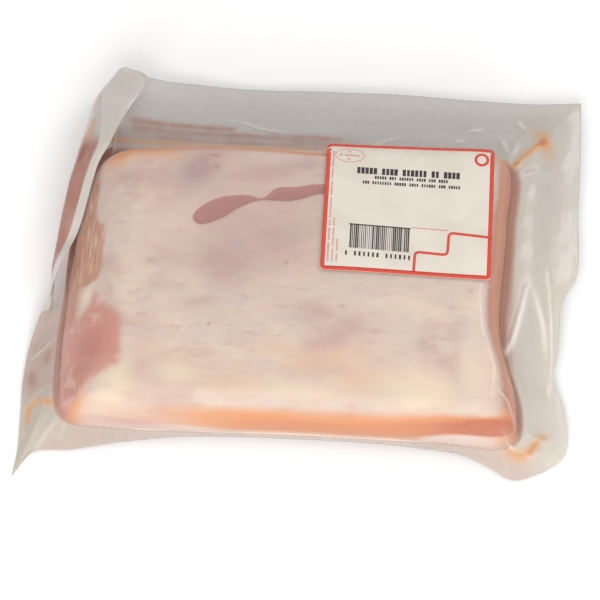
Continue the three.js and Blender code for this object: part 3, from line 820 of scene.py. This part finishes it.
def make_film(smooth, share, start, finish):
    """The film from its smooth rings, with the values that its finish follows."""
    rings = laid_down(smooth, share, start)
    number, out, front = np.arange(len(rings))[:, None], share[:, None], pouch.facing["front"]
    free = ramp(out, 0.04, 0.16) + np.zeros(pouch.count)
    rings = rings - normals_of(rings) * (sunk(rings) * (1 - free) * (rings[..., 2] > 0.5))[..., None]
    x, y, z = np.moveaxis(rings, -1, 0)
    plan = rings[..., :2]
    raised, white_and_highlight = np.zeros(free.shape), np.zeros(free.shape)
    upper = (out > 0) | (number < start)
    # Each of the creases is raised, and whitened in colour: the whitening is partly real and partly painted
    # highlight.
    for line, height, width, whitening_and_highlight in CREASES:
        gap, along = to_line(plan, line)
        taper = np.sin(math.pi * np.clip(along, 0.02, 0.98)) ** 0.7 * upper
        raised = np.maximum(raised, height * bell(gap, width) * taper)
        white_and_highlight = np.maximum(white_and_highlight, whitening_and_highlight * bell(gap, width * 0.6) * taper)
    crumple = swells(rings, CRUMPLES) - sum(kind[0] for kind in CRUMPLES) / 2
    stiff = ramp(out, 0.05, 0.3) * (z > 1.9) * (1 - 0.85 * front)
    rings[..., 2] = np.maximum(z + raised + crumple * stiff, 0)

    # The weld along the flap's free edge, and what lies between it and the fold
    to_edge = np.linalg.norm(smooth - pouch.edge, axis=-1)
    weld_width = WELD["width"] + WELD["wider"] * ramp(pouch.edge[:, 1], WELD["from"], WELD["to"])
    on_weld = weld_width - to_edge
    flap = (pouch.part == FLAP_PART) * np.minimum(1, pouch.folded)
    outer = out > FOLD_SHARE
    inner_flap = flap * outer * ramp(on_weld, 1, -1) * ramp(y, 72, 60)
    inside_flap = flap * (1 - outer)
    # A painted highlight along the bend of the back edge, laid in the welds' pale colour.
    rear_band = REAR_HIGHLIGHT["strength"] * bell(to_edge - REAR_HIGHLIGHT["in"], REAR_HIGHLIGHT["half"])
    rear_band = rear_band * (pouch.part == BACK_PART) * ramp(np.abs(x - REAR_HIGHLIGHT["middle"]), 40, 25)
    values = {
        "free": free * (1 - 0.85 * inside_flap), "crease": white_and_highlight, "rear_band": rear_band,
        "near_loin": free * bell(out - 0.05, 0.09) * (1 - inside_flap),
        "seam": bell(number - start - 1, 3) * (1 - 0.7 * front),
        "weld": np.where(flap * outer > 0.5, on_weld, NO_WELD),
        "juice": (spread(plan, JUICE_LINES) + patches(plan, JUICE_FANS)) * free,
        "stain": np.maximum(spread(plan, STAIN_LINES) * free, 0.9 * inner_flap),
        "purge": np.maximum(spread(plan, PURGE_LINES) * free, 0.35 * inner_flap),
        "warm": np.clip(ramp(y, 70, -60) + 0.6 * ramp(x, 70, 105), 0, 1),
        # painted light: lighter film towards the right and the front
        "fair": ramp(x, 50, 100) * ramp(y, 110, -30),
        "blush": np.maximum(
            ramp(x, -88, -104) * ramp(y, -52, -36) * ramp(y, 100, 60), 0.7 * front * free),
    }
    ends = (0, 0, crown(0, 0) - sunk(np.zeros(3))), (0, 0, 0)
    return stacked_piece("pouch_film", rings, ends, finish, values)


def squeezed_edge():
    """Rings of the thin edge of meat and juice that is squeezed out between the film's sheets."""
    middle = pouch.film(np.array([0, *WEDGE, WEDGE[-1] + 0.03]))
    half = (SKIRT_THICKNESS / 2 - FILM_GAP) * normals_of(middle)
    return np.concatenate([(middle + half)[1:-1], middle[-1:], (middle - half)[-2:0:-1]])


SPOTS = {  # in the fat and the muscle, as patches() takes them
    "mauve": [
        (-45, 47, 11, 8, 30, 1), (-2, 51, 11, 3, 10, 0.7), (-77, 43, 6, 4, 0, 0.5),
        (-37, 49, 3, 2, 0, 0.5), (-30, 8, 16, 12, 20, 0.5), (-12, 18, 18, 7, 15, 0.45),
        (4, -18, 12, 5, -20, 0.3),
    ],
    "pink": [
        # The broad patch over the back half of the cap is painted shade, darker where less light falls.
        (-20, 45, 20, 8, 5, 1), (-18, 30, 42, 32, 0, 0.75), (-8, 12, 22, 12, 10, 0.8),
        (8, -14, 9, 4, -20, 0.8), (22, -20, 8, 6, 0, 0.8), (14, -27, 9, 3, 10, 0.7),
        (-55, 30, 10, 8, 0, 0.5), (-40, -12, 9, 3, 10, 0.6), (-60, 5, 6, 3, 10, 0.6),
        (-62, -44, 6, 10, 0, 0.5),
    ],
    "tan": [
        (16, -34, 20, 6, 8, 0.9), (27, -42, 14, 8, 0, 0.8), (-8, -31, 12, 4, 0, 0.5),
        (-80, 52, 10, 4, 0, 0.9), (-60, 54, 12, 2.5, 0, 0.7), (-62, -36, 14, 7, 0, 0.3),
        (81, -30, 3, 26, 0, 0.6), (-22, -47, 15, 6, 0, 0.6),
    ],
    "cream": [
        (52, -46, 18, 9, 0, 1), (-48, -44, 16, 8, 0, 0.7), (0, -48, 20, 5, 0, 0.7),
        # The long patch at x 72 on the right front is a painted highlight.
        (-88, -9, 4, 4, 0, 0.8), (-55, 22, 14, 14, 0, 0.35), (72, -38, 8, 16, 0, 0.8),
        (40, -10, 20, 6, 0, 0.4), (-66, -46, 14, 8, 0, 0.9), (-74, -54, 9, 4, 0, 0.7),
    ],
    "core": [(-84, -32, 10, 6, 60, 1), (-90, -44, 12, 6, 70, 0.9)],
    "marbling": [(-78, -50, 11, 6, 25, 1.2), (-90, -12, 4, 3, 0, 0.8)],
    # dark red specks; make_loin adds to them the painted shadow along the left side
    "dark_red": [
        (-40, 53, 3.4, 0.8, 15, 0.8), (-37, 48.6, 1.2, 1, 0, 0.5), (-6, 6.5, 0.9, 0.7, 0, 0.5),
        (-36, -22, 0.7, 0.7, 0, 0.6), (-62, 5, 1.1, 0.8, 0, 0.35), (70, -2, 1, 1, 0, 0.35),
        (18, -12, 1.4, 0.8, 0, 0.4), (-5, 37.5, 6, 0.8, 8, 0.3),
    ],
}
CORNER_SPOTS = [(-92, -56, 8, 4, 20, 1), (88, -56, 7, 4, 0, 0.9)]
FRONT_RIGHT_SPOT = [(80, -57, 10, 5, 0, 1)]
FAT_DEPTH = {"front": 45.5, "right": 1.6, "back": 5, "left": 14}  # down the side from the top
FRONT_FAT = [(2, 22, 21)]


def make_loin(finish):
    """The meat, with the values that its finish follows. In the bands below, x is how far along
    the loin a place is, y how far back, z how high and drop how far down the side."""
    upper, lower = tight_rings(LOIN_RINGS)
    body, wedge = np.concatenate([upper, lower]), squeezed_edge()
    depth = FILM_GAP + sunk(body) + cut_in(body)
    joint = [len(upper)] * len(wedge)
    smooth = np.insert(body, joint, wedge, axis=0)
    rings = np.insert(body - normals_of(body) * depth[..., None], joint, wedge, axis=0)
    rings[..., 2] = np.maximum(rings[..., 2], FILM_GAP)
    x, y, z = np.moveaxis(smooth, -1, 0)
    plan = smooth[..., :2]
    front, right, back, left = (pouch.facing[side] for side in SIDES)
    widest = pouch.side["height"]
    drop = crown(x, y) - z
    fat_depth = front * swells(smooth, FRONT_FAT) + sum(
        pouch.facing[side] * FAT_DEPTH[side] for side in SIDES)
    foot = 19 + 4.5 * ramp(x, -60, -20) - 8 * ramp(x, 40, 78)
    band = ramp(drop, 3, 12 - 5 * ramp(x, 20, 76)) * ramp(drop, foot + 3, foot) * front
    band = band * (0.25 + 0.75 * ramp(x, -72, -20)) * ramp(x, -86, -70)
    rising = 6 * ramp(x, 20, 76)
    deep = ramp(drop, 11 - rising, 17 - rising) * ramp(drop, foot + 4, foot) * front
    deep = deep * (0.4 * ramp(x, -50, 0) + 0.6 * ramp(x, 40, 80))
    deep += patches(plan, FRONT_RIGHT_SPOT) * ramp(drop, 3, 8) * ramp(drop, 21, 15)
    pale = ramp(drop, foot, foot + 3) * ramp(z, 4, 9) * front
    lens = front * bell(x + 67, 18) * bell(z - 22.5, 4.5)
    rear_line = back * ramp(drop, 1.2, 3) * ramp(drop, 14, 7)
    rear_glow = bell(y - 56, 4.5) * ramp(x, -46, -62) * ramp(x, -96, -88) * ramp(z, 30, 38)
    rear_edge = bell(y - 57.6 + 0.8 * np.sin(x / 17), 1.1) * ramp(x, 40, 20) * ramp(z, 38, 40)
    right_band = right * ramp(drop, 1.2, 3.2)
    rim = bell(z - widest, 3.5)
    corner = patches(plan, CORNER_SPOTS) * ramp(drop, 2, 9)
    # A painted shadow of the film's fold: a thin dark line along the left side at the widest line.
    left_crease_shadow = left * bell(z - 20, 2.4) * ramp(y, -48, -30) * ramp(y, 40, 20)
    values = {key: patches(plan, spots) for key, spots in SPOTS.items()}
    values |= {
        "slit": depth_inside(plan, SLIT), "rose": depth_inside(plan, ROSE_MUSCLE) * (z > 12),
        "bare": depth_inside(plan, BARE_STRIP) * (z > 8),
        "below_fat": drop - fat_depth, "pale_strip": pale * 0.9,
        "amber": np.clip(band + 0.85 * rear_line + 0.6 * rear_glow + 0.75 * rear_edge
                         + 0.2 * right_band * (1 - rim) + corner, 0, 1),
        "amber_deep": np.clip(deep + 0.35 * rear_edge, 0, 1),
        "wall": np.clip(right_band + 0.85 * left * ramp(drop, 9, 15), 0, 1),
        "wall_deep": right * ramp(drop, 4, 9) * ramp(z, widest + 1, widest + 7),
        "lens": np.clip(0.9 * lens + 0.6 * right * rim, 0, 1),
        "dark_red": np.clip(0.8 * left_crease_shadow + values["dark_red"], 0, 1),
        "mauve": np.clip(values["mauve"] + 0.5 * right * bell(drop - 1.6, 1), 0, 1),
    }
    ends = (0, 0, crown(0, 0) - depth[0, 0]), (0, 0, FILM_GAP)
    return stacked_piece("pork_loin", rings, ends, finish, values)


# The label: places on it are millimetres from its left edge and down from its back edge


def arc(centre, radii, start, end, count):
    a = np.radians(np.linspace(start, end, count))
    return centre[0] + radii[0] * np.cos(a), centre[1] + radii[1] * np.sin(a)


def straight(first, last, step):
    """Places about this far apart after the first one, up to the last one."""
    count = max(1, int(math.dist(first, last) / step))
    return [first + (last - first) * k / count for k in range(1, count + 1)]


class Label:
    """Where the label lies on the film."""

    def __init__(self, film_rings):
        points, faces = closed_stack(film_rings[:, ::FINENESS], (0, 0, THICKNESS), (0, 0, 0))
        self.film = BVHTree.FromPolygons([Vector(p) for p in points], faces)
        self.half = np.array([LABEL["width"], LABEL["height"]]) / 2
        turn = math.radians(LABEL["turn"])
        self.turned = np.array([[math.cos(turn), math.sin(turn)], [-math.sin(turn), math.cos(turn)]])

    def raised(self, plan, height):
        """Places on the label, this high over its underside, where it follows the film."""
        lagging = plan + (np.array(LABEL_AT) - plan) * LABEL_BEND["lag"]
        level = [level_at(self.film, place) for place in lagging]
        drop = np.maximum(0, crown(lagging[:, 0], lagging[:, 1]) - level)
        bend = LABEL_BEND["most"] * (1 - np.exp(-drop / LABEL_BEND["most"]))
        z = crown(plan[:, 0], plan[:, 1]) - bend + LABEL_GAP + height
        return np.column_stack([plan, z])

    def place(self, u, v, height):
        """Places on the label's print, from how far along and down it they are."""
        flat = np.column_stack([np.asarray(u) - self.half[0], self.half[1] - np.asarray(v)])
        return self.raised(flat @ self.turned + LABEL_AT, height)

    def outline(self, inset, radius, step=2.2):
        """The label's rounded outline, this far in from its edge."""
        w, h = self.half - inset - radius
        bends = [np.column_stack(arc(corner, (radius, radius), 90 * k, 90 * k + 90, 6))
                 for k, corner in enumerate([(w, h), (-w, h), (-w, -h), (w, -h)])]
        points = []
        for bend, following in zip(bends, bends[1:] + bends[:1]):
            points += [*bend, *straight(bend[-1], following[0], step)[:-1]]
        points = np.array(points)
        return points[:, 0] + self.half[0], self.half[1] - points[:, 1]


def make_label(label, finish):
    """The sheet of paper."""
    u, v = label.outline(0, LABEL["corner"])
    shares = np.linspace(0, 1, LABEL_RINGS + 1)[1:]
    middle = label.half

    def level(height):
        return [label.place(middle[0] + (u - middle[0]) * s, middle[1] + (v - middle[1]) * s, height)
                for s in shares]

    rings = np.array(level(LABEL["thickness"]) + level(0)[::-1])
    centre = [label.place([middle[0]], [middle[1]], height)[0] for height in (LABEL["thickness"], 0)]
    return stacked_piece("label_sheet", rings, centre, finish)


def thick_strip(label, u, v, width, top, closed=True):
    """A closed strip of ink along a line on the label, from a little in the paper to above it."""
    line = np.column_stack([u, v]).astype(float)
    if closed:
        way = unit(np.roll(line, -1, 0) - np.roll(line, 1, 0))
    else:
        way = unit(np.gradient(line, axis=0))
    side = np.column_stack([-way[:, 1], way[:, 0]]) * width / 2
    low, high = top - PRINT["thickness"], top
    corners = [(line - side, low), (line + side, low), (line + side, high), (line - side, high)]
    rows = [label.place(p[:, 0], p[:, 1], h) for p, h in corners]
    points = np.stack(rows, axis=1)
    count = len(line)
    faces = []
    for i in range(count if closed else count - 1):
        a, b = 4 * i, 4 * ((i + 1) % count)
        faces += [[a + k, a + (k + 1) % 4, b + (k + 1) % 4, b + k] for k in range(4)]
    if not closed:
        end = 4 * (count - 1)
        faces += [[3, 2, 1, 0], [end, end + 1, end + 2, end + 3]]
    return points.reshape(-1, 3), faces


def joined(parts):
    """One list of points and faces from several."""
    points, faces, start = [], [], 0
    for p, f in parts:
        points.append(p)
        faces += [[start + k for k in face] for face in f]
        start += len(p)
    return np.vstack(points), faces


def facing_out(piece):
    """Turns every face of a closed piece outwards."""
    shape = bmesh.new()
    shape.from_mesh(piece.data)
    bmesh.ops.recalc_face_normals(shape, faces=shape.faces)
    shape.to_mesh(piece.data)
    shape.free()
    return piece


def stepped_line(places, radius=2, step=1.5):
    """A line through corners on the label that turns in small round bends."""
    p = [np.array(q, float) for q in places]
    line = [p[0]]
    for a, b, c in zip(p[:-2], p[1:-1], p[2:]):
        start, end = b + unit(a - b) * radius, b + unit(c - b) * radius
        line += straight(line[-1], start, step)
        line += [(1 - t) ** 2 * start + 2 * t * (1 - t) * b + t**2 * end for t in (0.25, 0.5, 0.75, 1)]
    return np.array(line + straight(line[-1], p[-1], step)).T


PRINT = {"thickness": 0.09, "proud": 0.045}
BORDER = {"inset": 0.9, "width": 1.7, "radius": 1.1, "step": 1.1}
STEP_LINE = [(69.4, 41), (52.2, 39.8), (51.9, 49.8), (38.6, 49.2), (38.3, 58.9)]
THIN_LINE = {"places": [(36.8, 38.4), (44, 38.6), (51.5, 38.9)], "width": 0.22}
BARS_LINE = {"places": [(11, 38.4), (23, 38.6), (36.4, 38.9)], "width": 0.5}
OVAL = {"centre": (9.7, 6.3), "radii": (6, 3.2), "width": 0.28}
RING = {"centre": (64.7, 5.8), "radii": (2.5, 2.5), "width": 1.1}
ROUND = 48  # places round the oval and the ring
# Rows of marks in place of words: where each row starts, its pitch and height, how many marks
# each word has, the smallest and the largest share of the pitch that a mark fills, the slope of
# the row and its seed
MARK_ROWS = [
    (12.9, 11.6, 1.72, 2.9, (5, 4, 6, 2, 4), 0.6, 0.85, 0.02, 1),
    (20.4, 15.4, 1.02, 1.35, (5, 3, 6, 4, 3, 4), 0.5, 0.85, 0.02, 2),
    (15.4, 17.8, 1.02, 1.35, (3, 8, 5, 4, 6, 3, 5), 0.5, 0.85, 0.02, 3),
    (11.4, 38.6, 0.77, 10.6, (32,), 0.16, 0.9, 0.02, 4),
    (9.4, 50.6, 1.85, 2, (1, 6, 6), 0.35, 0.5, 0.02, 5),
]
OVAL_ROWS = [
    (5.2, 5.9, 0.8, 0.9, (2, 8), 0.5, 0.8, 0, 6), (8.6, 4.2, 0.8, 0.7, (2,), 0.5, 0.8, 0, 11),
    (8.6, 7.9, 0.8, 0.7, (2,), 0.5, 0.8, 0, 12),
]
SIDE_ROWS = [
    (2.9, 56, 0.95, 0.8, (9, 6, 3, 10, 7, 5, 8), 0.5, 0.8, 0, 7),
    (4.7, 56, 0.95, 0.7, (6, 9, 4), 0.5, 0.75, 0, 8), (6.5, 56, 0.95, 0.7, (4, 6), 0.5, 0.75, 0, 9),
]


def row_tree():
    """Geometry nodes that set marks of random widths side by side in a row."""
    tree = bpy.data.node_groups.new("row_of_marks", "GeometryNodeTree")
    face = tree.interface
    face.new_socket("Geometry", in_out="OUTPUT", socket_type="NodeSocketGeometry")
    for name, kind in (("Count", "Int"), ("Pitch", "Float"), ("Height", "Float"), ("Thickness", "Float"),
                       ("Narrowest", "Float"), ("Widest", "Float"), ("Seed", "Int"), ("Ink", "Material")):
        face.new_socket(name, in_out="INPUT", socket_type="NodeSocket" + kind)

    def node(kind, settings=None, **values):
        return add_node(tree, kind, settings, values)

    given = node("NodeGroupInput")
    along = node("ShaderNodeCombineXYZ", X=given["Pitch"])
    line = node("GeometryNodeMeshLine", {"mode": "OFFSET"}, Count=given["Count"], Offset=along[0])
    narrowest_and_widest = {2: given["Narrowest"], 3: given["Widest"], "Seed": given["Seed"]}
    share = add_node(tree, "FunctionNodeRandomValue", {"data_type": "FLOAT"}, narrowest_and_widest)
    by_pitch = {0: share[1], 1: given["Pitch"]}
    width = add_node(tree, "ShaderNodeMath", {"operation": "MULTIPLY"}, by_pitch)
    size = node("ShaderNodeCombineXYZ", X=width[0], Y=given["Height"], Z=given["Thickness"])
    block = add_node(tree, "GeometryNodeMeshCube", None, {"Size": (1, 1, 1), "Vertices Y": 4})
    marks = node(
        "GeometryNodeInstanceOnPoints", Points=line["Mesh"], Instance=block["Mesh"], Scale=size[0])
    real = node("GeometryNodeRealizeInstances", Geometry=marks[0])
    inked = node("GeometryNodeSetMaterial", Geometry=real[0], Material=given["Ink"])
    node("NodeGroupOutput", Geometry=inked[0])
    return tree


def row_of_marks(tree, pitch, height, count, narrowest, widest, seed, ink):
    """Points and faces of one row, along X from 0, with its marks centred on Y."""
    carrier = placed("row", bpy.data.meshes.new("row"))
    modifier = carrier.modifiers.new("row", "NODES")
    modifier.node_group = tree
    wanted = {"Count": count, "Pitch": pitch, "Height": height, "Thickness": PRINT["thickness"],
              "Narrowest": narrowest, "Widest": widest, "Seed": seed, "Ink": ink}
    for item in tree.interface.items_tree:
        if item.in_out == "INPUT":
            modifier[item.identifier] = wanted[item.name]
    evaluated = carrier.evaluated_get(bpy.context.evaluated_depsgraph_get())
    mesh = bpy.data.meshes.new_from_object(evaluated)
    points = np.array([v.co for v in mesh.vertices])
    faces = [list(p.vertices) for p in mesh.polygons]
    carrier.modifiers.clear()
    bpy.data.objects.remove(carrier)
    bpy.data.meshes.remove(mesh)
    return points, faces


def make_print(label, red, pink, ink):
    """The red border and lines, the oval and the ring, and rows of marks in place of words."""
    top = LABEL["thickness"] + PRINT["proud"]

    def strip(line, width, closed=True):
        return thick_strip(label, line[0], line[1], width, top, closed)

    def loop(shape):
        line = arc(shape["centre"], shape["radii"], 0, 360 - 360 / ROUND, ROUND)
        return strip(line, shape["width"])

    def open_line(shape):
        return strip(np.array(shape["places"]).T, shape["width"], False)

    def rows(entries, upright=False):
        parts = []
        for start_u, start_v, pitch, height, words, low, high, slope, seed in entries:
            begun = pitch / 2
            for number, count in enumerate(words):
                points, faces = row_of_marks(tree, pitch, height, count, low, high, 10 * seed + number, ink)
                along = begun + points[:, 0]
                begun += (count + 1) * pitch
                if upright:
                    u, v = start_u - points[:, 1], start_v - along
                else:
                    u, v = start_u + along, start_v + height / 2 + points[:, 1] + slope * along
                level = label.place(u, v, 0)
                level[:, 2] += top - PRINT["thickness"] / 2 + points[:, 2]
                parts.append((level, faces))
        return parts

    tree = row_tree()
    border = strip(label.outline(BORDER["inset"], BORDER["radius"]), BORDER["width"])
    steps = strip(stepped_line(STEP_LINE), BORDER["step"], False)
    pieces = [
        ("label_border", [border, steps, loop(RING), open_line(THIN_LINE)], red),
        ("label_fine_lines", [loop(OVAL), *rows(SIDE_ROWS, True), *rows(OVAL_ROWS)], pink),
        ("label_marks", [*rows(MARK_ROWS), open_line(BARS_LINE)], ink),
    ]
    return [facing_out(new_piece(name, *joined(parts), finish)) for name, parts, finish in pieces]


# The table, the lights and the camera at the photograph's angle

VIEW = {"around": 3, "up": 68, "distance": 1, "focal_pixels": 2390, "target": (0, 0, 20), "sensor": 36}
# The lights, the table and where the lights look, in metres
LIGHTS = {
    "front_softbox": {"place": (-0.05, -0.48, 0.42), "power": 2.8, "size": (0.5, 0.4), "glint": False},
    "rear_strip": {"place": (0.42, 0.32, 0.62), "power": 1, "size": (0.08, 0.5), "glint": True},
}
LIT_PLACE, TABLE_REACH = (0, 0, 0.02), 3
SURROUNDINGS = {"Color": (1, 0.99, 0.98, 1), "Strength": 0.78}


def facing_from(place, target):
    return (Vector(target) - Vector(place)).to_track_quat("-Z", "Y").to_euler()


def make_stage():
    f = Finish("pale_table")
    colour = f.mix(FLOOR, FLOOR_GRAIN, f.noise(60, 2))
    mesh = bpy.data.meshes.new("table")
    w = TABLE_REACH
    mesh.from_pydata([(-w, -w, 0), (w, -w, 0), (w, w, 0), (-w, w, 0)], [], [(0, 1, 2, 3)])
    mesh.materials.append(f.finished(Base_Color=colour, Roughness=0.7))
    floor = placed("table", mesh)


def make_light(name, place, power, size, glint):
    light = bpy.data.lights.new(name, "AREA")
    light.shape = "RECTANGLE"
    light.energy = power
    light.size, light.size_y = size
    lamp = placed(name, light)
    lamp.visible_glossy = glint
    lamp.location = place
    lamp.rotation_euler = facing_from(place, LIT_PLACE)


def make_view():
    around, up = math.radians(VIEW["around"]), math.radians(VIEW["up"])
    back = Vector((math.sin(around) * math.cos(up), -math.cos(around) * math.cos(up), math.sin(up)))
    target = Vector((np.array(VIEW["target"]) - OFFSET) * MM)
    camera = bpy.data.cameras.new("camera")
    camera.sensor_width = VIEW["sensor"]
    camera.lens = VIEW["sensor"] * VIEW["focal_pixels"] / PHOTO_PIXELS
    holder = placed("camera", camera)
    holder.location = target + back * VIEW["distance"]
    holder.rotation_euler = facing_from(holder.location, target)
    bpy.context.scene.camera = holder


smooth, share, first_free = film_rings()
plan = smooth[..., :2].reshape(-1, 2)
OFFSET = np.array([*(plan.min(0) + plan.max(0)) / 2, 0])
make_view()
make_stage()
for name, light in LIGHTS.items():
    make_light(name, **light)
world = bpy.data.worlds.new("studio")
world.use_nodes = True
for key, value in SURROUNDINGS.items():
    world.node_tree.nodes["Background"].inputs[key].default_value = value
bpy.context.scene.world = world
bpy.context.scene.view_settings.view_transform = "Standard"

film = make_film(smooth, share, first_free, clear_film())
loin = make_loin(fat_and_lean())
label = Label(smooth)
sheet = make_label(label, label_paper())
inks = [("red_ink", PRINT_RED), ("pink_ink", PRINT_PINK), ("black_ink", PRINT_INK)]
prints = make_print(label, *(printed(name, ink) for name, ink in inks))
stand_ins = [
    (film, "sealed_pouch", "film"), (loin, "sealed_pouch", "meat"),
    (sheet, "paper_label", "label_paper"),
]
for piece, node, slot in stand_ins:
    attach(piece, "root")
    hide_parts(node)
for piece in prints:
    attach(piece, "root")
